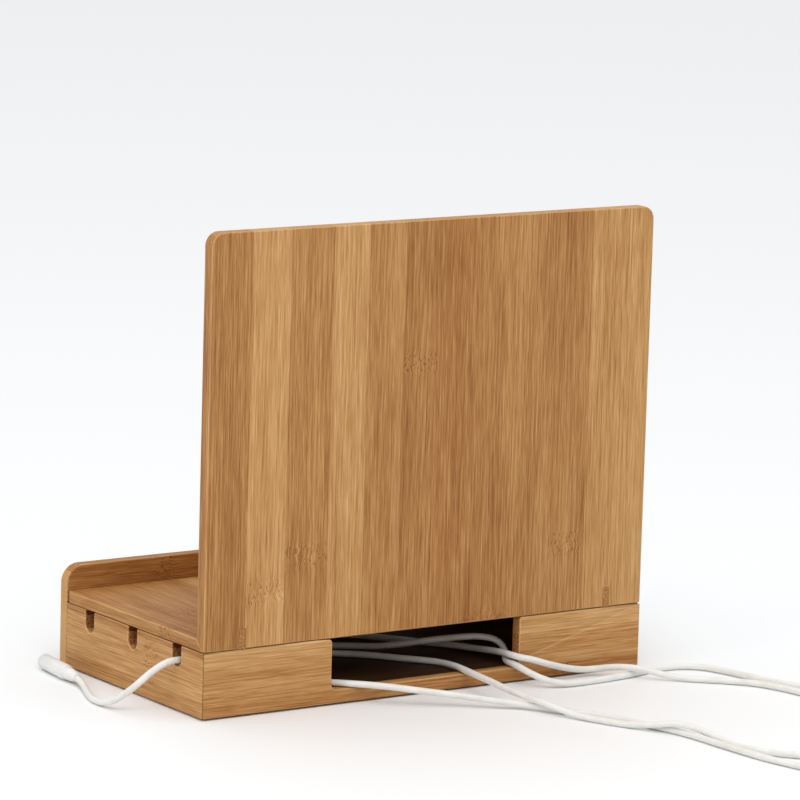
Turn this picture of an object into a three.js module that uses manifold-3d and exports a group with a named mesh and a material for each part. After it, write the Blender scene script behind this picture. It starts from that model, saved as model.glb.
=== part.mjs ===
// Bamboo laptop docking station: an open-topped cable box with a lift-off rack on it.
// The rack is a slotted tray, a tall rear panel mitred to it and two lower dividers.
// Charging leads run out of the box at the rear and through a side notch.
// Millimetres, +Z up. Origin under the middle of the box; front faces -Y, rear +Y.

import * as THREE from "three";
import { mergeVertices } from "three/addons/utils/BufferGeometryUtils.js";
import Module from "manifold-3d";

const wasm = await Module();
wasm.setup();

// Driving dimensions
const WIDTH = 250;
const DEPTH = 132;
const HEIGHT = 228;
const GAP = 0.3; // clearance between touching pieces
const WALL = 6; // wall and divider thickness
const FOOT_H = 1; // rubber pad height, and the bottom edge of the walls
const BOX_TOP = 32; // top edge of the box walls
const FLOOR_TOP = 7.2; // upper face of the bottom board
const TRAY_Z = 32.4; // underside of the tray, a thin shadow gap above the walls
const TRAY_TOP = 38;
const PANEL_T = 6.6; // thickness of the rear panel
const LIP_TOP = 50; // top edge of the front panel
const LIP_R = 9;
const TRAY_R = 3; // plan radius of the tray's front corners
const PANEL_R = 6.5; // radius of the rear panel's top corners

// Cable openings
const SILL_Z = 7.5; // bottom of the rear opening
const OPENING_X = [-53.5, 54];
const OPENING_R = 3;
const OPENING_EASE = 1.8; // at the top of the opening's two ends
const WALL_EASE = 1.2; // the rear wall's upper outer corners
const NOTCH_W = 8;
const NOTCH_Z = 21.5;
const SLOT_Y = [42, 2, -38]; // centres of the laptop, tablet and phone slots
const HOLE_X = 48; // tray cable holes, left and right of the middle
const HOLE_L = 26;
const HOLE_W = 12;

// Dividers: middle of the thickness, half width, top edge, corner radius
const DIVIDERS = [
  { name: "laptop_divider", y: 22, half: 92, top: 150, radius: 12 },
  { name: "tablet_divider", y: -18, half: 70, top: 112, radius: 12 },
];
const GROOVE = 2; // depth of the tray groove that holds a divider

// Mitre keys: thin triangles let into the corner between tray and rear panel
const KEY_X = 104;
const KEY_T = 3.5;
const KEY_LEG = 9.6;
const KEY_FIT = 0.2;

// Locating cleats under the tray, which drop inside the box walls
const CLEAT_W = 8;
const CLEAT_Z = 24;
const CLEAT_CLEAR = 0.6;
const FRONT_CLEAT = [-100, 100];
const REAR_CLEAT = [60, 100];

const BLOCK_LEG = 12; // triangular glue blocks in the box corners
const FOOT_R = 6;
const FOOT_AT = [100, 45];

// Leads
const CORD_R = 1.6;
const CORD_STEP = 7;
const COIL_TURNS_HIGH = 3;
const PLUG = { length: 30, width: 15, height: 7.5, tongue: 12, tongueW: 12, tongueH: 4.5 };
const BARREL = { length: 27, radius: 3.8, collar: 11, collarR: 3.1 };
const INNER_PLUG = { length: 20, width: 10, height: 6, tongue: 6, tongueW: 7, tongueH: 3 };

const bamboo = () => new THREE.MeshStandardMaterial({ color: 0xc4955f, roughness: 0.55, metalness: 0 });
const paleBamboo = () => new THREE.MeshStandardMaterial({ color: 0xb98a54, roughness: 0.6, metalness: 0 });
const rubber = () => new THREE.MeshStandardMaterial({ color: 0x1c1c1e, roughness: 0.9, metalness: 0 });
const cordPlastic = () => new THREE.MeshStandardMaterial({ color: 0xdedcd6, roughness: 0.5, metalness: 0 });
const plugPlastic = () => new THREE.MeshStandardMaterial({ color: 0xecebe8, roughness: 0.3, metalness: 0 });

const halfW = WIDTH / 2;
const halfD = DEPTH / 2;
const innerX = halfW - WALL;
const innerY = halfD - WALL;

// A closed geometry as a solid for joining and cutting
function solid(geometry) {
  const bare = geometry.clone();
  bare.deleteAttribute("normal");
  bare.deleteAttribute("uv");
  const merged = mergeVertices(bare, 1e-4);
  return new wasm.Manifold(new wasm.Mesh({
    numProp: 3,
    vertProperties: new Float32Array(merged.attributes.position.array),
    triVerts: new Uint32Array(merged.index.array),
  }));
}

// A solid back as a geometry with its own flat normals
function geometryOf(body) {
  const mesh = body.getMesh();
  const geometry = new THREE.BufferGeometry();
  geometry.setAttribute("position", new THREE.BufferAttribute(mesh.vertProperties, 3));
  geometry.setIndex(new THREE.BufferAttribute(mesh.triVerts, 1));
  geometry.computeVertexNormals();
  return geometry;
}

// A rectangle with a radius for each corner: low-left, low-right, high-right, high-left
function roundedRectangle(x0, y0, x1, y1, [r0, r1, r2, r3]) {
  const shape = new THREE.Shape();
  const corner = (x, y, r, turn) => {
    if (r > 0) {
      shape.absarc(x, y, r, turn, turn + Math.PI / 2, false);
    } else {
      shape.lineTo(x, y);
    }
  };
  shape.moveTo(x0 + r0, y0);
  corner(x1 - r1, y0 + r1, r1, -Math.PI / 2);
  corner(x1 - r2, y1 - r2, r2, 0);
  corner(x0 + r3, y1 - r3, r3, Math.PI / 2);
  corner(x0 + r0, y0 + r0, r0, Math.PI);
  return shape;
}

function polygon(points) {
  return new THREE.Shape(points.map(([x, y]) => new THREE.Vector2(x, y)));
}

function extrude(shape, depth) {
  return new THREE.ExtrudeGeometry(shape, { depth, bevelEnabled: false, curveSegments: 8 });
}

// Prisms of an outline drawn in a plane, between two limits along the third axis
const axes = (x, y, z) => new THREE.Matrix4().makeBasis(x, y, z);
const X = new THREE.Vector3(1, 0, 0);
const Y = new THREE.Vector3(0, 1, 0);
const Z = new THREE.Vector3(0, 0, 1);

function alongX(shape, low, high) {
  return solid(extrude(shape, high - low).applyMatrix4(axes(Y, Z, X)).translate(low, 0, 0));
}

function alongY(shape, low, high) {
  const turned = extrude(shape, high - low).applyMatrix4(axes(X, Z, Y.clone().negate()));
  return solid(turned.translate(0, high, 0));
}

function alongZ(shape, low, high) {
  return solid(extrude(shape, high - low).translate(0, 0, low));
}

function block([x0, x1], [y0, y1], [z0, z1]) {
  const box = new THREE.BoxGeometry(x1 - x0, y1 - y0, z1 - z0);
  return solid(box.translate((x0 + x1) / 2, (y0 + y1) / 2, (z0 + z1) / 2));
}

function named(name, geometry, material) {
  const mesh = new THREE.Mesh(geometry, material);
  mesh.name = name;
  return mesh;
}

const board = (name, body) => named(name, geometryOf(body), bamboo());

// ---- The cable box ----

const MITRE = 0.2; // how far each mitred end stands back from the corner line

function disc(x, z, radius) {
  return roundedRectangle(x - radius, z - radius, x + radius, z + radius, [radius, radius, radius, radius]);
}

// The two ends of the opening turn over into the wall's top edge in a small curve
function rearWall() {
  const outline = polygon([
    [-halfW + MITRE, halfD],
    [-innerX + MITRE, innerY],
    [innerX - MITRE, innerY],
    [halfW - MITRE, halfD],
  ]);
  const [x0, x1] = OPENING_X;
  const opening = roundedRectangle(x0, SILL_Z, x1, LIP_TOP, [OPENING_R, OPENING_R, 0, 0]);
  const front = roundedRectangle(-halfW, FOOT_H, halfW, BOX_TOP, [0, 0, WALL_EASE, WALL_EASE]);
  const reach = [innerY - 5, halfD + 5];
  const [left, right] = [x0 - OPENING_EASE, x1 + OPENING_EASE];
  let flare = block([left, right], reach, [BOX_TOP - OPENING_EASE, LIP_TOP]);
  for (const x of [left, right]) {
    flare = flare.subtract(alongY(disc(x, BOX_TOP - OPENING_EASE, OPENING_EASE), ...reach));
  }
  return alongZ(outline, FOOT_H, BOX_TOP).intersect(alongY(front, ...reach)).subtract(alongY(opening, ...reach))
    .subtract(flare);
}

// side is 1 for the wall at +X and -1 for the one at -X
function sideWall(side) {
  const outline = polygon([
    [side * innerX, -innerY + GAP],
    [side * halfW, -innerY + GAP],
    [side * halfW, halfD - MITRE],
    [side * innerX, innerY - MITRE],
  ]);
  let wall = alongZ(outline, FOOT_H, BOX_TOP);
  const r = NOTCH_W / 2;
  const reach = [Math.min(side * innerX, side * halfW) - 5, Math.max(side * innerX, side * halfW) + 5];
  for (const y of SLOT_Y) {
    const notch = roundedRectangle(y - r, NOTCH_Z, y + r, LIP_TOP, [r, r, 0, 0]);
    wall = wall.subtract(alongX(notch, ...reach));
  }
  return wall;
}

function frontPanel() {
  const outline = roundedRectangle(-halfW, FOOT_H, halfW, LIP_TOP, [0, 0, LIP_R, LIP_R]);
  return alongY(outline, -halfD, -innerY);
}

function bottomBoard() {
  const x = innerX - GAP;
  const y = innerY - GAP;
  return block([-x, x], [-y, y], [FOOT_H + GAP, FLOOR_TOP]);
}

function cornerBlock(sideX, sideY) {
  const x = sideX * (innerX - GAP);
  const y = sideY * (innerY - GAP);
  const corner = [[x, y], [x - sideX * BLOCK_LEG, y], [x, y - sideY * BLOCK_LEG]];
  return alongZ(polygon(corner), FLOOR_TOP + GAP, CLEAT_Z + 5);
}

function foot(sideX, sideY) {
  const pad = new THREE.CylinderGeometry(FOOT_R, FOOT_R - 0.5, FOOT_H, 32).rotateX(Math.PI / 2);
  return pad.translate(sideX * FOOT_AT[0], sideY * FOOT_AT[1], FOOT_H / 2);
}

// ---- The rack ----

function keySlot(side, fit) {
  const leg = KEY_LEG + fit;
  const y = halfD + fit * 5;
  const z = TRAY_Z - fit * 5;
  const reach = leg + fit * 10;
  const half = KEY_T / 2 + fit;
  return alongX(polygon([[y, z], [y, z + reach], [y - reach, z]]), side * KEY_X - half, side * KEY_X + half);
}

function trayBoard() {
  const front = -innerY + GAP;
  const profile = polygon([
    [front, TRAY_Z],
    [halfD - MITRE, TRAY_Z],
    [halfD - PANEL_T - MITRE, TRAY_TOP],
    [front, TRAY_TOP],
  ]);
  const plan = roundedRectangle(-halfW, front, halfW, halfD, [TRAY_R, TRAY_R, 0, 0]);
  let tray = alongX(profile, -halfW, halfW).intersect(alongZ(plan, TRAY_Z - 1, TRAY_TOP + 1));
  for (const { y, half } of DIVIDERS) {
    const grooveX = [-half - GAP, half + GAP];
    const grooveY = [y - WALL / 2 - GAP, y + WALL / 2 + GAP];
    tray = tray.subtract(block(grooveX, grooveY, [TRAY_TOP - GROOVE, TRAY_TOP + 1]));
  }
  const r = HOLE_W / 2;
  for (const y of SLOT_Y.slice(1)) {
    for (const x of [-HOLE_X, HOLE_X]) {
      const hole = roundedRectangle(x - HOLE_L / 2, y - r, x + HOLE_L / 2, y + r, [r, r, r, r]);
      tray = tray.subtract(alongZ(hole, TRAY_Z - 1, TRAY_TOP + 1));
    }
  }
  return tray.subtract(keySlot(-1, KEY_FIT)).subtract(keySlot(1, KEY_FIT));
}

function rearPanel() {
  const inner = halfD - PANEL_T;
  const profile = polygon([
    [halfD, TRAY_Z + MITRE],
    [halfD, HEIGHT],
    [inner, HEIGHT],
    [inner, TRAY_TOP + MITRE],
  ]);
  const outline = roundedRectangle(-halfW, 0, halfW, HEIGHT, [0, 0, PANEL_R, PANEL_R]);
  const panel = alongX(profile, -halfW, halfW).intersect(alongY(outline, inner - 1, halfD + 1));
  return panel.subtract(keySlot(-1, KEY_FIT)).subtract(keySlot(1, KEY_FIT));
}

function divider({ y, half, top, radius }) {
  const low = TRAY_TOP - GROOVE + GAP;
  const outline = roundedRectangle(-half, low, half, top, [0, 0, radius, radius]);
  return alongY(outline, y - WALL / 2, y + WALL / 2);
}

function cleat([x0, x1], sideY) {
  const outer = sideY * (innerY - CLEAT_CLEAR);
  const inner = outer - sideY * CLEAT_W;
  return block([x0, x1], [Math.min(outer, inner), Math.max(outer, inner)], [CLEAT_Z, TRAY_Z - GAP]);
}

// ---- The leads ----

// Routes from the inner end outwards, chosen by hand along the box floor and the table.
const ROUTES = {
  lead_a: [
    [53, 24, 9.1], [55, 32, 9.1], [57, 41, 9.1], [56, 50, 9.1], [50.5, 57.5, 9.3],
    [44, 64, 9.4], [36, 71, 9.3], [27, 78.5, 8.7], [15, 87, 7.3], [3, 94.5, 5.8],
    [-10, 104.4, 4.1], [-23.5, 115, 2.5], [-35.9, 132.7, 1.8], [-46.3, 150, 1.7],
    [-53.6, 171, 1.7], [-59, 193, 1.7], [-61, 221.7, 1.7], [-63.4, 248, 1.7],
    [-67.7, 267, 1.7], [-70, 278, 1.7], [-70.5, 287.3, 1.7],
  ],
  lead_b: [
    [22, -1.5, 9.1], [12.8, 6.7, 9.1], [5, 13, 9.1], [-2, 20, 9.1], [-9, 29, 9.1],
    [-16.5, 38, 9.1], [-21.5, 46, 9.1], [-22.8, 56, 9.3], [-22, 66, 9.4],
    [-21.3, 76, 9.2], [-21.5, 87, 8.6], [-22, 98, 7.6], [-23.2, 110, 6.7],
    [-25.5, 121, 5.8], [-29.5, 131, 3.9], [-34, 142, 2.1], [-39, 153, 1.7],
    [-45.5, 166.7, 1.8], [-51.5, 177.5, 3.3], [-56.5, 187, 5.3], [-61, 198, 5],
    [-64, 209, 3], [-65.2, 220, 1.8], [-67, 230, 1.7], [-72, 240.5, 1.7],
    [-80.5, 251, 1.7], [-91, 263, 1.7], [-102, 274, 1.7], [-114.3, 280.8, 1.7],
  ],
  lead_c: [
    [121.8, 42, 24.4], [114, 41.8, 22.4], [106, 41.2, 17], [99, 40, 12], [92, 37.5, 9.5],
    [84, 31, 9.1], [75, 16, 9.1], [65, -2, 9.1], [49, -20, 9.1], [29, -31, 9.1],
    [8, -34, 9.1], [-12, -28, 9.1], [-27, -12, 9.1], [-38, 4, 9.1], [-47, 19, 9.6],
    [-51, 36, 10.8], [-51.2, 48, 12.2], [-50.4, 58, 13.3], [-50.2, 64, 13.6],
    [-52, 68.8, 13.2], [-58, 71, 11.8], [-67, 72.3, 8.9], [-77, 72.2, 6.1],
    [-87, 71, 4], [-94, 71.8, 3.7], [-100, 76.5, 4.8], [-106, 82.5, 5.5],
    [-112, 88.5, 4.9], [-119, 94.8, 3], [-128, 102.8, 1.8], [-142, 115, 1.7],
    [-151, 125, 1.7], [-156.5, 138, 1.7], [-159.5, 152, 1.7], [-162.3, 166, 1.7],
    [-163.4, 181, 1.7],
  ],
  lead_d: [
    [9.8, -11.5, 9.1], [3.6, -7.3, 9.1], [-4, -3, 9.1], [-11, 5, 9.8], [-20, 13, 11.6],
    [-32, 22.5, 14.4], [-43, 31.5, 16.6],
    [-50.5, 37.5, 17.3], [-55.8, 42.5, 16.2], [-57.4, 47, 13.6], [-56, 51, 11.2],
    [-53, 55.3, 9.8], [-50.8, 60.5, 9.5], [-50.5, 66, 9.4], [-51, 71, 8.6],
    [-53.6, 77, 6.5], [-59, 82.6, 3.9], [-67, 85.4, 2.2], [-78, 85.6, 1.7],
    [-92, 84.8, 1.7], [-107, 83, 1.7], [-119, 80.2, 1.7], [-131, 78.4, 1.7],
    [-142, 80, 1.7], [-150, 86.6, 1.7], [-154.4, 98, 1.7], [-157.8, 112, 1.7],
    [-162.3, 128.5, 1.7], [-167.4, 140.5, 1.7], [-174, 150.5, 1.7], [-184, 160, 1.7],
    [-196, 167.5, 1.7], [-208.6, 171.1, 1.7],
  ],
  lead_side: [
    [122.2, 42, 24.4], [127, 42, 24.4], [132, 41.6, 23], [137.4, 40, 19.4],
    [142.2, 37, 14.2], [146.3, 32.4, 8.8], [149.3, 26.4, 4.4], [150.8, 19, 2.2],
    [150.4, 10.5, 1.7], [147.6, 1, 1.7], [143.8, -8.5, 2], [141, -16.5, 2.8],
    [139.6, -23.6, 3.6],
  ],
};

// Round coils past the leads' far ends: centre, mean radius, turns side by side
const COILS = {
  lead_a: { at: [-90, 300], radius: 18, wide: 2 },
  lead_b: { at: [-128, 262], radius: 18, wide: 2 },
  lead_c: { at: [-187.3, 195], radius: 19, wide: 4 },
  lead_d: { at: [-222, 152], radius: 18, wide: 2 },
};
const COIL_PLUG_TURN = { lead_a: 2.4, lead_b: 0.4, lead_c: 1.9, lead_d: 0.9 }; // radians

function tube(points) {
  const path = new THREE.CatmullRomCurve3(points.map((p) => new THREE.Vector3(...p)), false, "centripetal");
  const section = new THREE.Shape();
  const sides = 8;
  for (let i = 0; i < sides; i++) {
    const turn = ((i + 0.5) * 2 * Math.PI) / sides;
    const method = i === 0 ? "moveTo" : "lineTo";
    section[method](CORD_R * Math.cos(turn), CORD_R * Math.sin(turn));
  }
  const steps = Math.round(path.getLength() / CORD_STEP);
  return new THREE.ExtrudeGeometry(section, { steps, bevelEnabled: false, extrudePath: path });
}

function coilRing({ at: [x, y], radius, wide }) {
  const half = wide * CORD_R;
  const high = COIL_TURNS_HIGH * 2 * CORD_R;
  const c = CORD_R;
  const section = [
    [radius - half + c, 0], [radius + half - c, 0], [radius + half, c], [radius + half, high - c],
    [radius + half - c, high], [radius - half + c, high], [radius - half, high - c], [radius - half, c],
    [radius - half + c, 0],
  ];
  const profile = section.map(([r, z]) => new THREE.Vector2(r, z));
  return new THREE.LatheGeometry(profile, 32).rotateX(Math.PI / 2).translate(x, y, 0);
}

// A flat plug lying along +X from its back end at the origin, on the plane z = 0
function plugBody({ length, width, height, tongue, tongueW, tongueH }) {
  const r = height * 0.3;
  const shape = roundedRectangle(-width / 2, 0, width / 2, height, [r, r, r, r]);
  const mid = height / 2;
  return alongX(shape, 0, length).add(
    block([length - 1, length + tongue], [-tongueW / 2, tongueW / 2], [mid - tongueH / 2, mid + tongueH / 2]),
  );
}

function plug(name, size, [x, y, z], turn) {
  const mesh = named(name, geometryOf(plugBody(size)), plugPlastic());
  mesh.position.set(x, y, z);
  mesh.rotation.z = turn;
  return mesh;
}

// A round connector lying on the table past the end of the side lead
function barrelConnector() {
  const { length, radius, collar, collarR } = BARREL;
  const profile = [
    [0, 0], [collarR - 0.6, 0], [collarR, 0.8], [collarR, collar], [radius, collar + 0.6],
    [radius, collar + length - 0.8], [radius - 0.8, collar + length], [0, collar + length],
  ];
  const body = new THREE.LatheGeometry(profile.map(([r, z]) => new THREE.Vector2(r, z)), 20);
  const mesh = named("laptop_connector", body, plugPlastic());
  const route = ROUTES.lead_side;
  const end = new THREE.Vector3(...route.at(-1));
  const heading = new THREE.Vector3(-0.1, -0.995, 0).normalize();
  mesh.quaternion.setFromUnitVectors(Y, heading);
  mesh.position.copy(end.addScaledVector(heading, GAP));
  mesh.position.z = radius;
  return mesh;
}

// ---- Assembly ----

const base = new THREE.Group();
base.add(board("bottom_board", bottomBoard()));
base.add(board("front_panel", frontPanel()));
base.add(board("rear_wall", rearWall()));
base.add(board("right_wall", sideWall(1)));
base.add(board("left_wall", sideWall(-1)));
for (const [yName, sideY] of [["front", -1], ["rear", 1]]) {
  for (const [xName, sideX] of [["left", -1], ["right", 1]]) {
    base.add(named(`glue_block_${yName}_${xName}`, geometryOf(cornerBlock(sideX, sideY)), paleBamboo()));
    base.add(named(`foot_${yName}_${xName}`, foot(sideX, sideY), rubber()));
  }
}

const rack = new THREE.Group();
rack.add(board("tray_board", trayBoard()));
rack.add(board("rear_panel", rearPanel()));
rack.add(named("mitre_key_left", geometryOf(keySlot(-1, 0)), paleBamboo()));
rack.add(named("mitre_key_right", geometryOf(keySlot(1, 0)), paleBamboo()));
for (const size of DIVIDERS) {
  rack.add(board(size.name, divider(size)));
}
rack.add(named("cleat_front", geometryOf(cleat(FRONT_CLEAT, -1)), paleBamboo()));
rack.add(named("cleat_rear_right", geometryOf(cleat(REAR_CLEAT, 1)), paleBamboo()));
rack.add(named("cleat_rear_left", geometryOf(cleat(REAR_CLEAT.map((x) => -x).reverse(), 1)), paleBamboo()));

const leads = new THREE.Group();
for (const [name, route] of Object.entries(ROUTES)) {
  leads.add(named(`${name}_tube`, tube(route), cordPlastic()));
}
const coilTop = COIL_TURNS_HIGH * 2 * CORD_R + GAP;
for (const [name, coil] of Object.entries(COILS)) {
  leads.add(named(`${name}_coil`, coilRing(coil), cordPlastic()));
  const turn = COIL_PLUG_TURN[name];
  const back = 6; // the plug's back end stands this far before the coil's centre
  const at = [coil.at[0] - back * Math.cos(turn), coil.at[1] - back * Math.sin(turn), coilTop];
  leads.add(plug(`${name}_plug`, PLUG, at, turn));
}
for (const name of ["lead_a", "lead_b", "lead_d"]) {
  const [from, next] = ROUTES[name];
  const turn = Math.atan2(from[1] - next[1], from[0] - next[0]);
  const at = [from[0] + GAP * Math.cos(turn), from[1] + GAP * Math.sin(turn), FLOOR_TOP + GAP];
  leads.add(plug(`${name}_device_plug`, INNER_PLUG, at, turn));
}
leads.add(barrelConnector());

const group = new THREE.Group();
group.add(base, rack, leads);

export default group;
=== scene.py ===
"""Looks of the bamboo laptop docking station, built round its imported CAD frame.

Metres, +Z up, in the CAD frame: the front faces -Y, and the tall panel and the cable opening face +Y.
"""

import math

import bmesh
import bpy
from mathutils import Matrix, Vector


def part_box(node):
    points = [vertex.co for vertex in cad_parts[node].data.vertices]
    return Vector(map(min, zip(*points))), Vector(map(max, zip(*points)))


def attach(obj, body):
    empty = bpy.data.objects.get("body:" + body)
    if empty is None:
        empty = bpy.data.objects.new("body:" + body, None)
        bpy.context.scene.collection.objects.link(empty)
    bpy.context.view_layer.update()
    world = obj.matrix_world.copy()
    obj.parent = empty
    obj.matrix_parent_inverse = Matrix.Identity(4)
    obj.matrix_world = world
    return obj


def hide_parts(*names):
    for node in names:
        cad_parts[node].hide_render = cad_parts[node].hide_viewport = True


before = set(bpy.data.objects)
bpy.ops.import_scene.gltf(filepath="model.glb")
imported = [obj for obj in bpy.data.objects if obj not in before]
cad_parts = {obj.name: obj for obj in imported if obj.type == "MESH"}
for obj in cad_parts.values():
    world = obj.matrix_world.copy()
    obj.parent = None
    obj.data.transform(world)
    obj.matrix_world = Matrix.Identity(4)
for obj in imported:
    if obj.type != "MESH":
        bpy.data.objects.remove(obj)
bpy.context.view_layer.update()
SCENE = bpy.context.scene


def link(name, data):
    piece = bpy.data.objects.new(name, data)
    SCENE.collection.objects.link(piece)
    return piece


# ---- Camera ----

CAMERA_AT = (1.31579, 1.98505, 0.54497)
CAMERA_RIGHT = (-0.83112, 0.55538, 0.02824)
CAMERA_UP = (-0.0718, -0.15754, 0.9849)
CAMERA_LENS = 225.5


def make_camera():
    data = bpy.data.cameras.new("camera")
    data.lens = CAMERA_LENS
    data.sensor_width = 36
    camera = link("camera", data)
    right = Vector(CAMERA_RIGHT).normalized()
    back = right.cross(Vector(CAMERA_UP)).normalized()
    up = back.cross(right)
    camera.matrix_world = Matrix.Translation(CAMERA_AT) @ Matrix((right, up, back)).transposed().to_4x4()
    SCENE.camera = camera


make_camera()


# ---- Leads ----

LEAD_D = 0.0032
LEAD_STEP = 0.002
COIL_STEP = 0.09  # radians
COIL_SHIFT = math.pi / 3  # a turn moves over to its next place in its last stretch
RISE_ANGLE = 1.1  # the lead starts to rise to its plug this far before it leaves the ring
PLUG_GAP = 0.006  # the plug starts this far before the middle of its coil
PLUG_Z = 0.01365

# Each lead's way over the stand and the floor, from inside the box to where its coil starts.
ROUTES = {
    "lead_a": [
        (0.053, 0.024, 0.0091), (0.055, 0.032, 0.0091), (0.057, 0.041, 0.0091),
        (0.056, 0.05, 0.0091), (0.0505, 0.0575, 0.0093), (0.044, 0.064, 0.0094),
        (0.036, 0.071, 0.0093), (0.027, 0.0785, 0.0087), (0.015, 0.087, 0.0073),
        (0.003, 0.0945, 0.0058), (-0.01, 0.1044, 0.0041), (-0.0235, 0.115, 0.0025),
        (-0.0359, 0.1327, 0.0018), (-0.0463, 0.15, 0.0017), (-0.0536, 0.171, 0.0017),
        (-0.059, 0.193, 0.0017), (-0.061, 0.2217, 0.0017), (-0.0634, 0.248, 0.0017),
        (-0.0677, 0.267, 0.0017), (-0.07, 0.278, 0.0017), (-0.0705, 0.2873, 0.0017),
    ],
    "lead_b": [
        (0.022, -0.0015, 0.0091), (0.0128, 0.0067, 0.0091), (0.005, 0.013, 0.0091),
        (-0.002, 0.02, 0.0091), (-0.009, 0.029, 0.0091), (-0.0165, 0.038, 0.0091),
        (-0.0215, 0.046, 0.0091), (-0.0228, 0.056, 0.0093), (-0.022, 0.066, 0.0094),
        (-0.0213, 0.076, 0.0092), (-0.0215, 0.087, 0.0086), (-0.022, 0.098, 0.0076),
        (-0.0232, 0.11, 0.0067), (-0.0255, 0.121, 0.0058), (-0.0295, 0.131, 0.0039),
        (-0.034, 0.142, 0.0021), (-0.039, 0.153, 0.0017), (-0.0455, 0.1667, 0.0018),
        (-0.0515, 0.1775, 0.0033), (-0.0565, 0.187, 0.0053), (-0.061, 0.198, 0.005),
        (-0.064, 0.209, 0.003), (-0.0652, 0.22, 0.0018), (-0.067, 0.23, 0.0017),
        (-0.072, 0.2405, 0.0017), (-0.0805, 0.251, 0.0017), (-0.091, 0.263, 0.0017),
        (-0.102, 0.274, 0.0017), (-0.1143, 0.2808, 0.0017),
    ],
    "lead_c": [
        (0.1218, 0.042, 0.0244), (0.114, 0.0418, 0.0224), (0.106, 0.0412, 0.017),
        (0.099, 0.04, 0.012), (0.092, 0.0375, 0.0095), (0.084, 0.031, 0.0091),
        (0.075, 0.016, 0.0091), (0.065, -0.002, 0.0091), (0.049, -0.02, 0.0091),
        (0.029, -0.031, 0.0091), (0.008, -0.034, 0.0091), (-0.012, -0.028, 0.0091),
        (-0.027, -0.012, 0.0091), (-0.038, 0.004, 0.0091), (-0.047, 0.019, 0.0096),
        (-0.051, 0.036, 0.0108), (-0.0512, 0.048, 0.0122), (-0.0504, 0.058, 0.0133),
        (-0.0502, 0.064, 0.0136), (-0.052, 0.0688, 0.0132), (-0.058, 0.071, 0.0118),
        (-0.067, 0.0723, 0.0089), (-0.077, 0.0722, 0.0061), (-0.087, 0.071, 0.004),
        (-0.094, 0.0718, 0.0037), (-0.1, 0.0765, 0.0048), (-0.106, 0.0825, 0.0055),
        (-0.112, 0.0885, 0.0049), (-0.119, 0.0948, 0.003), (-0.128, 0.1028, 0.0018),
        (-0.142, 0.115, 0.0017), (-0.151, 0.125, 0.0017), (-0.1565, 0.138, 0.0017),
        (-0.1595, 0.152, 0.0017), (-0.1623, 0.166, 0.0017), (-0.1634, 0.181, 0.0017),
    ],
    "lead_d": [
        (0.0098, -0.0115, 0.0091), (0.0036, -0.0073, 0.0091),
        (-0.004, -0.003, 0.0091), (-0.011, 0.005, 0.0098), (-0.02, 0.013, 0.0116),
        (-0.032, 0.0225, 0.0144), (-0.043, 0.0315, 0.0166), (-0.0505, 0.0375, 0.0173),
        (-0.0558, 0.0425, 0.0162), (-0.0574, 0.047, 0.0136), (-0.056, 0.051, 0.0112),
        (-0.053, 0.0553, 0.0098), (-0.0508, 0.0605, 0.0095), (-0.0505, 0.066, 0.0094),
        (-0.051, 0.071, 0.0086), (-0.0536, 0.077, 0.0065), (-0.059, 0.0826, 0.0039),
        (-0.067, 0.0854, 0.0022), (-0.078, 0.0856, 0.0017), (-0.092, 0.0848, 0.0017),
        (-0.107, 0.083, 0.0017), (-0.119, 0.0802, 0.0017), (-0.131, 0.0784, 0.0017),
        (-0.142, 0.08, 0.0017), (-0.15, 0.0866, 0.0017), (-0.1544, 0.098, 0.0017),
        (-0.1578, 0.112, 0.0017), (-0.1623, 0.1285, 0.0017), (-0.1674, 0.1405, 0.0017),
        (-0.174, 0.1505, 0.0017), (-0.184, 0.16, 0.0017), (-0.196, 0.1675, 0.0017),
        (-0.2086, 0.1711, 0.0017),
    ],
    "lead_side": [
        (0.1222, 0.042, 0.0244), (0.127, 0.042, 0.0244), (0.132, 0.0416, 0.023),
        (0.1374, 0.04, 0.0194), (0.1422, 0.037, 0.0142), (0.1463, 0.0324, 0.0088),
        (0.1493, 0.0264, 0.0044), (0.1508, 0.019, 0.0022), (0.1504, 0.0105, 0.0017),
        (0.1476, 0.001, 0.0017), (0.1438, -0.0085, 0.002), (0.141, -0.0165, 0.0028),
        (0.1396, -0.0236, 0.0036),
    ],
}

# name: middle, mean radius, columns, places, angle where it starts, direction of its plug
COILS = {
    "lead_a": ((-0.09, 0.3), 0.018, 2, 6, 0.0, 2.4),
    "lead_b": ((-0.128, 0.262), 0.018, 2, 6, math.pi / 2, 0.4),
    "lead_c": ((-0.1873, 0.195), 0.019, 4, 11, 0.0, 1.9),
    "lead_d": ((-0.222, 0.152), 0.018, 2, 6, math.pi / 2, 0.9),
}


def smooth_step(share):
    share = min(max(share, 0.0), 1.0)
    return share * share * (3 - 2 * share)


def smooth_line(points, step):
    """A centripetal Catmull-Rom line through the points, sampled about every step."""
    points = [Vector(point) for point in points]
    first = points[0] * 2 - points[1]
    last = points[-1] * 2 - points[-2]
    padded = [first, *points, last]
    line = []
    for p0, p1, p2, p3 in zip(padded, padded[1:], padded[2:], padded[3:]):
        t1 = math.sqrt((p1 - p0).length)
        t2 = t1 + math.sqrt((p2 - p1).length)
        t3 = t2 + math.sqrt((p3 - p2).length)
        count = max(1, round((p2 - p1).length / step))
        for i in range(count):
            t = t1 + (t2 - t1) * i / count
            a1 = p0.lerp(p1, t / t1)
            a2 = p1.lerp(p2, (t - t1) / (t2 - t1))
            a3 = p2.lerp(p3, (t - t2) / (t3 - t2))
            b1 = a1.lerp(a2, t / t2)
            b2 = a2.lerp(a3, (t - t1) / (t3 - t1))
            line.append(b1.lerp(b2, (t - t1) / (t2 - t1)))
    line.append(points[-1])
    return line


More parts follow.
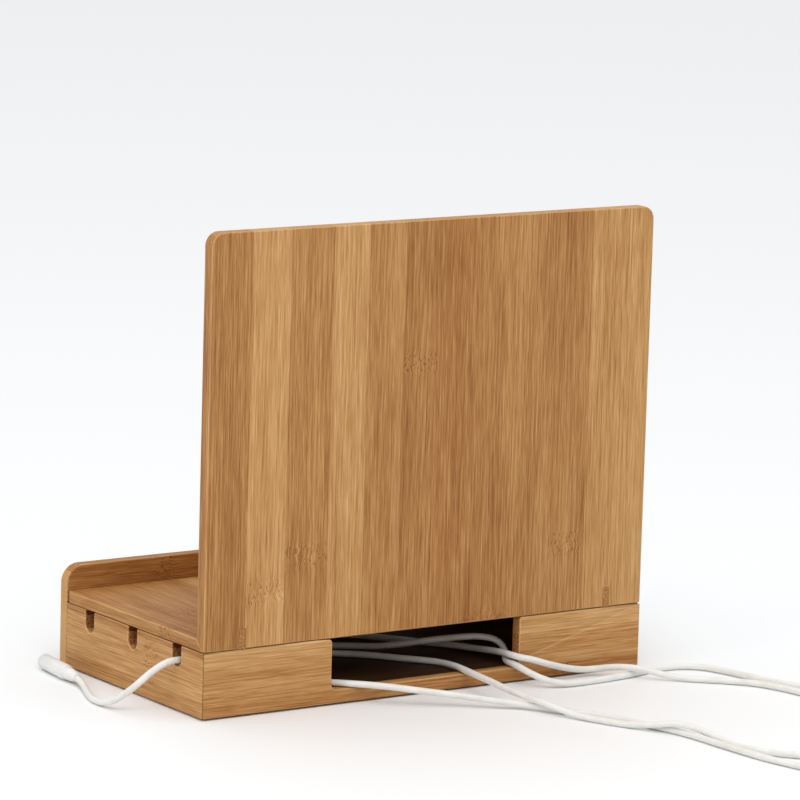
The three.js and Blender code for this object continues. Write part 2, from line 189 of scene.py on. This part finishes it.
def coil_line(middle, radius, columns, places, start, plug_angle):
    """The wound part of a lead: layer on layer, then up over the ring to the back of its plug."""

    def place(index):
        layer, column = divmod(index, columns)
        if layer % 2:
            column = columns - 1 - column
        return radius + ((columns - 1) / 2 - column) * LEAD_D, LEAD_D * (0.5 + layer)

    def on_ring(angle, distance, z):
        x = middle[0] + distance * math.cos(angle)
        y = middle[1] + distance * math.sin(angle)
        return (x, y, z)

    # the last bend is an arc that leaves the ring smoothly and runs straight into the plug
    last_radius, last_z = place(places - 1)
    early = math.pi / 2 - 2 * math.atan(PLUG_GAP / last_radius)
    bend = last_radius * math.sin(early) / (1 + math.sin(early))
    leaves = plug_angle + math.pi - early
    whole_turn = (places - 1 + ((leaves - start) / math.tau) % 1) * math.tau
    steps = round(whole_turn / COIL_STEP)
    bend_angle = math.pi / 2 + early
    rise = RISE_ANGLE * last_radius + bend_angle * bend

    def height_at(run):
        """How high the lead is when it is run past the start of its rise."""
        return last_z + (PLUG_Z - last_z) * smooth_step(run / rise)

    line = []
    for i in range(steps + 1):
        turned = whole_turn * i / steps
        done, rest = divmod(turned, math.tau)
        here = Vector(place(int(done)))
        there = Vector(place(min(int(done) + 1, places - 1)))
        distance, z = here.lerp(there, smooth_step(1 - (math.tau - rest) / COIL_SHIFT))
        run = (turned - whole_turn + RISE_ANGLE) * last_radius
        line.append(on_ring(start + turned, distance, height_at(run) if run > 0 else z))
    out = Vector(on_ring(leaves, last_radius - bend, 0))
    bend_steps = round(bend_angle / COIL_STEP / 1.5)
    for i in range(1, bend_steps + 1):
        share = bend_angle * i / bend_steps
        x = out.x + bend * math.cos(leaves + share)
        y = out.y + bend * math.sin(leaves + share)
        line.append((x, y, height_at(RISE_ANGLE * last_radius + bend * share)))
    return line


def lead_curve(name, points):
    """A round lead along the points."""
    data = bpy.data.curves.new(name, "CURVE")
    data.dimensions = "3D"
    data.bevel_depth = LEAD_D / 2
    data.bevel_resolution = 4
    data.use_fill_caps = True
    spline = data.splines.new("POLY")
    spline.points.add(len(points) - 1)
    for point, place in zip(spline.points, points):
        point.co = (*place, 1)
    spline.use_smooth = True
    return link(name, data)


# ---- Node helpers ----

class Tree:
    """A material's node tree, with short calls for the nodes used here."""

    def __init__(self, name):
        self.material = bpy.data.materials.new(name)
        self.material.use_nodes = True
        self.nodes = self.material.node_tree.nodes
        self.links = self.material.node_tree.links
        self.shader = self.nodes["Principled BSDF"]

    def node(self, kind, inputs=(), **settings):
        made = self.nodes.new(kind)
        for key, value in settings.items():
            setattr(made, key, value)
        for key, value in dict(inputs).items():
            if isinstance(value, bpy.types.NodeSocket):
                self.links.new(value, made.inputs[key])
            else:
                made.inputs[key].default_value = value
        return made

    def math(self, operation, a, b=0.0, clamp=False):
        made = self.node("ShaderNodeMath", {0: a, 1: b}, operation=operation, use_clamp=clamp)
        return made.outputs[0]

    def ramp_between(self, value, low, high):
        """0 at low, 1 at high, smooth between them."""
        made = self.node(
            "ShaderNodeMapRange",
            {"Value": value, "From Min": low, "From Max": high},
            interpolation_type="SMOOTHSTEP",
        )
        return made.outputs[0]

    def vector(self, x, y, z):
        return self.node("ShaderNodeCombineXYZ", {0: x, 1: y, 2: z}).outputs[0]

    def noise(self, vector, detail=2.0, roughness=0.5):
        inputs = {"Vector": vector, "Scale": 1.0, "Detail": detail, "Roughness": roughness}
        return self.node("ShaderNodeTexNoise", inputs).outputs["Fac"]

    def mix(self, share, a, b, blend="MIX"):
        made = self.node("ShaderNodeMix", data_type="RGBA", blend_type=blend)
        for index, value in ((0, share), (6, a), (7, b)):
            if isinstance(value, bpy.types.NodeSocket):
                self.links.new(value, made.inputs[index])
            else:
                made.inputs[index].default_value = value
        return made.outputs[2]

    def ramp(self, value, stops):
        made = self.node("ShaderNodeValToRGB", {"Fac": value})
        elements = made.color_ramp.elements
        while len(elements) < len(stops):
            elements.new(0.5)
        for element, (at, color) in zip(elements, stops):
            element.position = at
            element.color = (*color, 1)
        return made.outputs[0]

    def bump(self, height, strength, distance):
        inputs = {"Height": height, "Strength": strength, "Distance": distance}
        self.links.new(self.node("ShaderNodeBump", inputs).outputs[0], self.shader.inputs["Normal"])

    def set(self, **values):
        for key, value in values.items():
            socket = self.shader.inputs[key.replace("_", " ")]
            if isinstance(value, bpy.types.NodeSocket):
                self.links.new(value, socket)
            else:
                socket.default_value = value


# ---- Bamboo ----

FIBRE = 0.001  # width of a fibre streak
FINE = 0.0004
STREAK = 0.045  # length of a fibre streak
KNUCKLE_EVERY = 0.33  # along one strip, from one bamboo joint to the next
KNUCKLE_REACH = 0.009

BAMBOO_STOPS = [
    (0.0, (0.2, 0.068, 0.014)),
    (0.3, (0.335, 0.142, 0.036)),
    (0.5, (0.44, 0.218, 0.067)),
    (0.7, (0.545, 0.3, 0.11)),
    (1.0, (0.68, 0.43, 0.2)),
]
# the same on a cut end, which the saw and the router scorch
CUT_STOPS = [
    (0.0, (0.05, 0.008, 0.003)),
    (0.2, (0.22, 0.065, 0.016)),
    (0.4, (0.4, 0.185, 0.056)),
    (0.7, (0.545, 0.3, 0.11)),
]
PLAIN = (1.0, 1.0, 1.0, 1)


def bamboo(name, along, across, strip, seed, lift=0.0, cut=-0.1, painted_shade=PLAIN):
    """Laminated bamboo. along and across number the axes of the grain and of the row of strips."""
    tree = Tree(name)
    place = tree.node("ShaderNodeTexCoord")
    xyz = tree.node("ShaderNodeSeparateXYZ", {0: place.outputs["Object"]}).outputs
    normal = tree.node("ShaderNodeSeparateXYZ", {0: place.outputs["Normal"]}).outputs
    thick = 3 - along - across
    u, v, w = xyz[across], xyz[thick], xyz[along]

    # one random colour and one joint position for each strip
    row = tree.math("ADD", tree.math("DIVIDE", u, strip), seed * 7.31)
    cells = {"W": row, "Scale": 1.0, "Randomness": 0.55}
    cell = tree.node("ShaderNodeTexVoronoi", cells, voronoi_dimensions="1D")
    own = tree.node("ShaderNodeSeparateColor", {0: cell.outputs["Color"]}).outputs
    edge = tree.node(
        "ShaderNodeTexVoronoi",
        cells,
        voronoi_dimensions="1D",
        feature="DISTANCE_TO_EDGE",
    ).outputs["Distance"]
    seam = tree.ramp_between(tree.math("MULTIPLY", edge, strip), 0.00035, 0.0)

    # the joint, where the fibres fan out
    phase = tree.math("ADD", tree.math("DIVIDE", w, KNUCKLE_EVERY), tree.math("MULTIPLY", own[1], 9.0))
    off = tree.math("MULTIPLY", tree.math("PINGPONG", phase, 0.5), KNUCKLE_EVERY)
    fan = tree.ramp_between(off, KNUCKLE_REACH, 0.002)
    cloud = tree.noise(tree.vector(tree.math("DIVIDE", u, 0.005), v, tree.math("DIVIDE", w, 0.006)), 2)
    push = tree.math("MULTIPLY", tree.math("SUBTRACT", cloud, 0.5), tree.math("MULTIPLY", fan, 0.006))
    speck_place = tree.vector(
        tree.math("DIVIDE", u, 0.0009),
        tree.math("DIVIDE", v, 0.002),
        tree.math("DIVIDE", w, 0.0022),
    )
    speckle = tree.noise(speck_place, 1)
    speckle = tree.math("MULTIPLY", tree.ramp_between(speckle, 0.56, 0.66), fan)
    bent = tree.math("ADD", u, push)

    def streaks(width, length, detail, roughness):
        return tree.noise(
            tree.vector(
                tree.math("DIVIDE", bent, width),
                tree.math("DIVIDE", v, width),
                tree.math("ADD", tree.math("DIVIDE", w, length), tree.math("MULTIPLY", own[0], 40.0)),
            ),
            detail,
            roughness,
        )

    fibre = streaks(FIBRE, STREAK, 3, 0.65)
    fine = streaks(FINE, STREAK * 0.3, 2, 0.6)
    broad = streaks(0.009, 0.16, 2, 0.5)

    # lightness from 0, a dark fibre, to 1
    parts = ((fibre, 1.1), (fine, 0.8), (broad, 0.4), (own[2], 0.28))
    light = 0.5 + lift
    for value, share in parts:
        light = tree.math("ADD", tree.math("MULTIPLY", tree.math("SUBTRACT", value, 0.5), share), light)
    light = tree.math("SUBTRACT", light, tree.math("MULTIPLY", seam, 0.1))
    dark_line = tree.ramp_between(streaks(FIBRE * 0.7, STREAK * 1.6, 2, 0.5), 0.6, 0.7)
    light = tree.math("SUBTRACT", light, tree.math("MULTIPLY", dark_line, 0.16))
    light = tree.math("SUBTRACT", light, tree.math("MULTIPLY", speckle, 0.28), clamp=True)
    color = tree.ramp(light, BAMBOO_STOPS)

    # redder and yellower strips
    warm = tree.mix(tree.math("MULTIPLY", own[0], 0.3), color, (1.0, 0.86, 0.72, 1), "MULTIPLY")

    # cut ends show the fibre bundles as dots
    dots = tree.node(
        "ShaderNodeTexVoronoi",
        {"Vector": place.outputs["Object"], "Scale": 1100.0, "Randomness": 0.9},
    ).outputs["Distance"]
    end_light = tree.math("ADD", tree.math("MULTIPLY", dots, 0.45), 0.12 + lift + cut)
    end_light = tree.math("ADD", end_light, tree.math("MULTIPLY", own[2], 0.2))
    end_color = tree.ramp(end_light, CUT_STOPS)
    is_end = tree.math("GREATER_THAN", tree.math("ABSOLUTE", normal[along]), 0.75)
    bare = tree.mix(is_end, warm, end_color)
    # the last colour is multiplied in as painted shade, which darkens a board that stands in shade inside
    # the box
    tree.set(
        Base_Color=tree.mix(1.0, bare, painted_shade, "MULTIPLY"),
        Roughness=tree.math("SUBTRACT", 0.72, tree.math("MULTIPLY", fibre, 0.35)),
        Specular_IOR_Level=0.3,
    )
    tree.bump(tree.math("ADD", fibre, tree.math("MULTIPLY", fine, 0.5)), 0.25, 0.0002)
    return tree.material


# ---- Plugs and connector ----

CORNER_STEPS = 4
PLUG_EDGE = 0.00025
SHELL_WALL = 0.0004


def section(half_width, half_height, corner):
    """A rounded rectangle round the origin, as a list of (sideways, up)."""
    points = []
    for quarter in range(4):
        turn = quarter * math.pi / 2
        x = (half_width - corner) * (1 if quarter in (0, 3) else -1)
        z = (half_height - corner) * (1 if quarter in (0, 1) else -1)
        for i in range(CORNER_STEPS + 1):
            angle = turn + i * math.pi / 2 / CORNER_STEPS
            points.append((x + corner * math.cos(angle), z + corner * math.sin(angle)))
    return points


def loft(mesh, sections, slot=0):
    """A closed skin through (forward, half width, half height, corner) sections, forward along +X."""
    rings = []
    for forward, half_width, half_height, corner in sections:
        ring = section(half_width, half_height, corner)
        rings.append([mesh.verts.new((forward, -side, up)) for side, up in ring])
    faces = [mesh.faces.new(rings[0][::-1]), mesh.faces.new(rings[-1])]
    for low, high in zip(rings, rings[1:]):
        for i in range(len(low)):
            j = (i + 1) % len(low)
            faces.append(mesh.faces.new((low[i], low[j], high[j], high[i])))
    for face in faces:
        face.material_index = slot
        face.smooth = True


def ribs(start, end, half, count):
    """Sections of a ribbed strain relief that widens from the lead to half."""
    made = []
    pitch = (end - start) / count
    for i in range(count):
        at = start + pitch * i
        wide = LEAD_D / 2 + 0.0003 + (half - LEAD_D / 2 - 0.0003) * (i + 1) / count
        groove = wide - 0.0005
        made.append((at, groove, groove, groove * 0.98))
        made.append((at + pitch * 0.25, wide, wide, wide * 0.98))
        made.append((at + pitch * 0.8, wide, wide, wide * 0.98))
        made.append((at + pitch * 0.98, groove, groove, groove * 0.98))
    return made


def finish_mesh(name, mesh, materials):
    data = bpy.data.meshes.new(name)
    bmesh.ops.recalc_face_normals(mesh, faces=mesh.faces)
    mesh.to_mesh(data)
    mesh.free()
    for material in materials:
        data.materials.append(material)
    piece = link(name, data)
    soft = piece.modifiers.new("soft edges", "BEVEL")
    soft.width = PLUG_EDGE
    soft.segments = 2
    soft.limit_method = "ANGLE"
    soft.angle_limit = math.radians(35)
    soft.harden_normals = True
    return piece


def plug(name, sizes):
    """A moulded grip, its back end at the origin, and a metal shell with an open mouth, along +X."""
    length, width, height, tongue, tongue_width, tongue_height = sizes
    w, h = width / 2, height / 2
    round_edge = h * 0.72
    mesh = bmesh.new()
    grip = [
        (0.0, w * 0.5, h * 0.62, h * 0.5),
        (length * 0.03, w * 0.62, h * 0.74, h * 0.6),
        (length * 0.12, w * 0.85, h * 0.9, round_edge * 0.9),
        (length * 0.25, w * 0.97, h * 0.99, round_edge),
        (length * 0.36, w, h, round_edge),
        (length * 0.975, w, h, round_edge),
        (length, w * 0.93, h * 0.88, round_edge * 0.85),
    ]
    loft(mesh, grip)
    # sunk thumb lines on the grip's top and bottom
    for i in range(3):
        at = length * (0.42 + 0.1 * i)
        line = [
            (at, w * 0.55, h + 0.0001, 0.0001),
            (at + length * 0.03, w * 0.55, h + 0.0001, 0.0001),
        ]
        loft(mesh, line)
    tw, th = tongue_width / 2, tongue_height / 2
    wall = SHELL_WALL
    shell = [
        (length - 0.001, tw, th, 0.0006),
        (length + tongue, tw, th, 0.0006),
        (length + tongue, tw - wall, th - wall, 0.0004),
        (length + tongue * 0.2, tw - wall, th - wall, 0.0004),
    ]
    loft(mesh, shell, 1)
    insert = [
        (length + tongue * 0.19, tw - wall - 0.0002, th * 0.42, 0.0002),
        (length + tongue * 0.93, tw - wall - 0.0002, th * 0.42, 0.0002),
    ]
    loft(mesh, insert, 2)
    return finish_mesh(name, mesh, (PLASTIC, METAL, DARK))


def connector(name, collar, collar_radius, length, radius):
    """A round plug with a narrower collar, which ends in a short metal tip inside its rim."""
    mesh = bmesh.new()
    body = [
        *ribs(0.0, collar * 0.7, collar_radius, 4),
        (collar * 0.72, collar_radius, collar_radius, collar_radius * 0.98),
        (collar, collar_radius, collar_radius, collar_radius * 0.98),
        (collar + 0.0002, radius * 0.94, radius * 0.94, radius * 0.92),
        (collar + 0.0012, radius, radius, radius * 0.98),
        (collar + length - 0.0006, radius, radius, radius * 0.98),
        (collar + length, radius * 0.92, radius * 0.92, radius * 0.9),
        (collar + length, radius * 0.72, radius * 0.72, radius * 0.7),
        (collar + length - 0.002, radius * 0.72, radius * 0.72, radius * 0.7),
    ]
    loft(mesh, body)
    tip = radius * 0.5
    contact = [
        (collar + length - 0.003, tip, tip, tip * 0.98),
        (collar + length - 0.0002, tip, tip, tip * 0.98),
    ]
    loft(mesh, contact, 1)
    return finish_mesh(name, mesh, (PLASTIC, METAL))


# ---- Materials other than bamboo ----

def soft_plastic(name, color, roughness, coat=0.0):
    """Moulded plastic with a faint handling haze."""
    tree = Tree(name)
    place = tree.node("ShaderNodeTexCoord").outputs["Object"]
    haze = tree.node("ShaderNodeTexNoise", {"Vector": place, "Scale": 120.0, "Detail": 4.0}).outputs["Fac"]
    grain = tree.node("ShaderNodeTexNoise", {"Vector": place, "Scale": 1600.0, "Detail": 2.0}).outputs["Fac"]
    dull = tuple(c * 0.9 for c in color[:2]) + (color[2] * 0.86,)
    tree.set(
        Base_Color=tree.mix(tree.ramp_between(haze, 0.4, 0.75), (*color, 1), (*dull, 1)),
        Roughness=tree.math("ADD", tree.math("MULTIPLY", haze, 0.15), roughness - 0.07),
        Coat_Weight=coat,
        Coat_Roughness=0.15,
        Subsurface_Weight=0.15,
        Subsurface_Radius=(0.002, 0.0018, 0.0015),
        Subsurface_Scale=0.5,
    )
    tree.bump(grain, 0.08, 0.0001)
    return tree.material


def brushed_metal(name):
    tree = Tree(name)
    place = tree.node("ShaderNodeTexCoord").outputs["Object"]
    drawn = tree.node("ShaderNodeMapping", {"Vector": place, "Scale": (60.0, 1800.0, 1800.0)}).outputs[0]
    lines = tree.noise(drawn, 3)
    tree.set(
        Base_Color=tree.ramp(lines, [(0.3, (0.5, 0.5, 0.5)), (0.7, (0.66, 0.66, 0.65))]),
        Metallic=1.0,
        Roughness=tree.math("ADD", tree.math("MULTIPLY", lines, 0.2), 0.2),
    )
    tree.bump(lines, 0.1, 0.00005)
    return tree.material


def rubber(name):
    tree = Tree(name)
    place = tree.node("ShaderNodeTexCoord").outputs["Object"]
    grit = tree.node("ShaderNodeTexNoise", {"Vector": place, "Scale": 900.0, "Detail": 4.0}).outputs["Fac"]
    tree.set(
        Base_Color=tree.ramp(grit, [(0.35, (0.02, 0.02, 0.02)), (0.7, (0.05, 0.048, 0.045))]),
        Roughness=tree.math("ADD", tree.math("MULTIPLY", grit, 0.2), 0.65),
    )
    tree.bump(grit, 0.3, 0.0001)
    return tree.material


JACKET = soft_plastic("white lead jacket", (0.78, 0.775, 0.75), 0.42)
PLASTIC = soft_plastic("white moulded plastic", (0.8, 0.795, 0.78), 0.3, 0.2)
METAL = brushed_metal("plug metal")
DARK = soft_plastic("plug insert", (0.03, 0.03, 0.032), 0.5)
RUBBER = rubber("black rubber")

# ---- Boards ----

STRIP = 0.021  # width of a bamboo strip
EDGE = 0.0006
# the rounded edges are made lighter: partly the paler sanded wood, partly a painted highlight where an edge
# catches the light
EDGE_SANDING_AND_HIGHLIGHT_LIFT = 0.2  # a rounded edge is this much lighter than its board
SHARP = math.radians(35)
WELD = 0.00025  # corners of the CAD mesh closer than this are one
FLAT = math.radians(1)  # faces that meet at less than this are one
KEY_REACH = 0.0005
CORNER_REACH = 0.0016
FOOT_EDGE = 0.0002
SWELL = 0.00005  # boards grow this much towards each other, which thins the glued seams
X, Y, Z = 0, 1, 2

# material name: axis of the grain, axis across the strips, seed, lightness, lightness of cut ends, painted
# shade multiplied into the colour
GRAINS = {
    "panel bamboo": (Z, X, 6, 0.0, 0.1, PLAIN),
    "tray bamboo": (Y, X, 5, 0.0, 0.1, PLAIN),
    "rear wall bamboo": (X, Z, 8, 0.05, -0.15, PLAIN),
    "side wall bamboo": (Y, Z, 11, -0.02, -0.24, PLAIN),
    "front panel bamboo": (X, Z, 14, 0.0, 0.25, PLAIN),
    # the bottom board is darkened almost to black, with a lower lightness as well: painted shade for the
    # unlit inside of the box
    "bottom bamboo": (X, Y, 17, -0.1, -0.1, (0.1, 0.09, 0.1, 1)),
    "divider bamboo": (Z, X, 21, 0.02, 0.1, PLAIN),
    "block bamboo": (Z, X, 24, 0.03, 0.1, PLAIN),
    "cleat bamboo": (X, Y, 27, 0.03, 0.1, PLAIN),
    "key bamboo": (Y, X, 30, 0.0, -0.16, PLAIN),
}

BOARDS = {
    "rear_panel": "panel bamboo",
    "tray_board": "tray bamboo",
    "rear_wall": "rear wall bamboo",
    "right_wall": "side wall bamboo",
    "left_wall": "side wall bamboo",
    "front_panel": "front panel bamboo",
    "bottom_board": "bottom bamboo",
    "laptop_divider": "divider bamboo",
    "tablet_divider": "divider bamboo",
    "glue_block_front_left": "block bamboo",
    "glue_block_front_right": "block bamboo",
    "glue_block_rear_left": "block bamboo",
    "glue_block_rear_right": "block bamboo",
    "cleat_front": "cleat bamboo",
    "cleat_rear_left": "cleat bamboo",
    "cleat_rear_right": "cleat bamboo",
    "mitre_key_left": "key bamboo",
    "mitre_key_right": "key bamboo",
}

RACK = {
    "rear_panel",
    "tray_board",
    "laptop_divider",
    "tablet_divider",
    "cleat_front",
    "cleat_rear_left",
    "cleat_rear_right",
    "mitre_key_left",
    "mitre_key_right",
}

KEY_BOXES = [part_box("mitre_key_left"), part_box("mitre_key_right")]
WALL_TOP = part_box("rear_wall")[1]


def near_key(point):
    """Whether the point is on the edge of a key's slot, which stays sharp."""
    for low, high in KEY_BOXES:
        if all(a - KEY_REACH < p < b + KEY_REACH for a, p, b in zip(low, point, high)):
            return True
    return False


def at_box_corner(point):
    """Whether the point is on one of the box's mitred rear corners, which stay sharp."""
    x, y, z = WALL_TOP
    at_end = abs(point.x) > x - CORNER_REACH and point.y > y - CORNER_REACH
    return at_end and point.z < z + CORNER_REACH / 10


def eased_copy(node, edge, materials):
    """A board of the node's own shape, its sharp edges rounded over by edge."""
    mesh = bmesh.new()
    mesh.from_mesh(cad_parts[node].data)
    bmesh.ops.remove_doubles(mesh, verts=mesh.verts, dist=WELD)
    bmesh.ops.dissolve_limit(mesh, angle_limit=FLAT, verts=mesh.verts, edges=mesh.edges)
    weight = mesh.edges.layers.float.new("bevel_weight_edge")
    for line in mesh.edges:
        middle = (line.verts[0].co + line.verts[1].co) / 2
        if line.calc_face_angle(0) < SHARP:
            continue
        if near_key(middle) or at_box_corner(middle):
            line.smooth = False
        else:
            line[weight] = 1
    for face in mesh.faces:
        face.smooth = True
        face.material_index = 0
    data = bpy.data.meshes.new("visual_" + node)
    mesh.to_mesh(data)
    mesh.free()
    for material in materials:
        data.materials.append(material)
    piece = link("visual_" + node, data)
    swell = piece.modifiers.new("tight seams", "DISPLACE")
    swell.mid_level = 0
    swell.strength = SWELL
    easing = piece.modifiers.new("eased edges", "BEVEL")
    easing.width = edge
    easing.segments = 3
    easing.limit_method = "WEIGHT"
    easing.use_clamp_overlap = False
    # the rounded edges take the lighter copy of the bamboo, which holds the painted highlight
    easing.material = len(materials) - 1
    level = piece.modifiers.new("flat faces", "WEIGHTED_NORMAL")
    level.keep_sharp = True
    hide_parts(node)
    return piece


def make_boards():
    grains = {}
    for name, (along, across, seed, lift, cut, painted_shade) in GRAINS.items():
        face = bamboo(name, along, across, STRIP, seed, lift, cut, painted_shade)
        # the lighter copy for the rounded edges: sanded wood plus a painted highlight
        rim = bamboo(name + " edge", along, across, STRIP, seed, lift + EDGE_SANDING_AND_HIGHLIGHT_LIFT, cut, painted_shade)
        grains[name] = (face, rim)
    for node, grain in BOARDS.items():
        piece = eased_copy(node, EDGE, grains[grain])
        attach(piece, "rack" if node in RACK else "base")


def make_feet():
    for node in ("front_left", "front_right", "rear_left", "rear_right"):
        foot = eased_copy("foot_" + node, FOOT_EDGE, (RUBBER,))
        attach(foot, "base")


# ---- Leads on the stand ----

# a plug's grip length, width and height, then the same of its metal shell
PLUG = (0.03, 0.015, 0.0075, 0.012, 0.012, 0.0045)
DEVICE_PLUG = (0.02, 0.01, 0.006, 0.006, 0.007, 0.003)
BARREL = (0.011, 0.0031, 0.027, 0.0038)  # collar length and radius, body length and radius
BARREL_HEADING = (-0.1, -0.995)
GAP = 0.0003
BOX_FLOOR = 0.0072


def place_plug(piece, node, at, heading):
    """The back end at the point, the nose level along the heading, in radians."""
    piece.matrix_world = Matrix.Translation(at) @ Matrix.Rotation(heading, 4, "Z")
    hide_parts(node)
    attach(piece, "base")
    return piece


def wall_plug(name):
    """The plug that lies on its lead's coil."""
    middle, _, _, _, _, turn = COILS[name]
    at = (
        middle[0] - PLUG_GAP * math.cos(turn),
        middle[1] - PLUG_GAP * math.sin(turn),
        PLUG_Z,
    )
    return place_plug(plug("visual_" + name + "_plug", PLUG), name + "_plug", at, turn)


def device_plug(name):
    """The small plug at the lead's inner end, on the floor of the box."""
    first, second = (Vector(point) for point in ROUTES[name][:2])
    turn = math.atan2(first.y - second.y, first.x - second.x)
    at = (
        first.x + GAP * math.cos(turn),
        first.y + GAP * math.sin(turn),
        BOX_FLOOR + GAP + DEVICE_PLUG[2] / 2,
    )
    node = name + "_device_plug"
    return place_plug(plug("visual_" + node, DEVICE_PLUG), node, at, turn)


def make_leads():
    for name, route in ROUTES.items():
        if name not in COILS:
            continue
        points = smooth_line(route, LEAD_STEP) + coil_line(*COILS[name])
        lead = lead_curve("visual_" + name, points)
        lead.data.materials.append(JACKET)
        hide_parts(name + "_tube", name + "_coil")
        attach(lead, "base")
        ends = [wall_plug(name)]
        if name != "lead_c":
            ends.append(device_plug(name))


def make_laptop_lead():
    route = ROUTES["lead_side"]
    points = smooth_line(route, LEAD_STEP)
    lead = lead_curve("visual_lead_side", points)
    lead.data.materials.append(JACKET)
    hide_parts("lead_side_tube")
    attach(lead, "base")
    heading = Vector(BARREL_HEADING).normalized()
    at = (
        route[-1][0] + GAP * heading.x,
        route[-1][1] + GAP * heading.y,
        BARREL[3],
    )
    end = connector("visual_laptop_connector", *BARREL)
    place_plug(end, "laptop_connector", at, math.atan2(heading.y, heading.x))


make_leads()
make_laptop_lead()
make_boards()
make_feet()

# ---- Floor and light ----

FLOOR_HALF = 6.0
SKY_LOW = 0.27  # strength at the sides
SKY_HIGH = 1.36  # strength overhead
LAMP_AIM = (0, 0, 0.08)
# name, place, width, watts
LAMPS = [
    ("key", (0.7, 1.9, 2.3), 2.0, 25),
    ("side", (2.4, 0.2, 1.4), 1.6, 11),
]


def make_floor():
    tree = Tree("pale floor")
    tree.set(Base_Color=(0.85, 0.865, 0.875, 1), Roughness=0.6)
    corners = [(-FLOOR_HALF, -FLOOR_HALF, 0), (FLOOR_HALF, -FLOOR_HALF, 0)]
    corners += [(FLOOR_HALF, FLOOR_HALF, 0), (-FLOOR_HALF, FLOOR_HALF, 0)]
    data = bpy.data.meshes.new("floor")
    data.from_pydata(corners, [], [(0, 1, 2, 3)])
    data.materials.append(tree.material)
    link("floor", data)


def make_lamp(name, at, size, watts):
    data = bpy.data.lights.new(name, "AREA")
    data.shape = "DISK"
    data.size = size
    data.energy = watts
    lamp = link(name, data)
    aim = Vector(LAMP_AIM) - Vector(at)
    lamp.matrix_world = Matrix.Translation(at) @ aim.to_track_quat("-Z", "Y").to_matrix().to_4x4()


def make_sky():
    """A studio that is bright overhead and dimmer at the sides."""
    world = bpy.data.worlds.new("studio")
    world.use_nodes = True
    nodes = world.node_tree.nodes
    links = world.node_tree.links
    place = nodes.new("ShaderNodeTexCoord")
    height = nodes.new("ShaderNodeSeparateXYZ")
    shade = nodes.new("ShaderNodeMapRange")
    shade.inputs["To Min"].default_value = SKY_LOW
    shade.inputs["To Max"].default_value = SKY_HIGH
    links.new(place.outputs["Generated"], height.inputs[0])
    links.new(height.outputs["Z"], shade.inputs["Value"])
    links.new(shade.outputs[0], nodes["Background"].inputs["Strength"])
    nodes["Background"].inputs["Color"].default_value = (1, 1, 1, 1)
    SCENE.world = world
    SCENE.view_settings.view_transform = "Standard"


make_floor()
for lamp in LAMPS:
    make_lamp(*lamp)
make_sky()
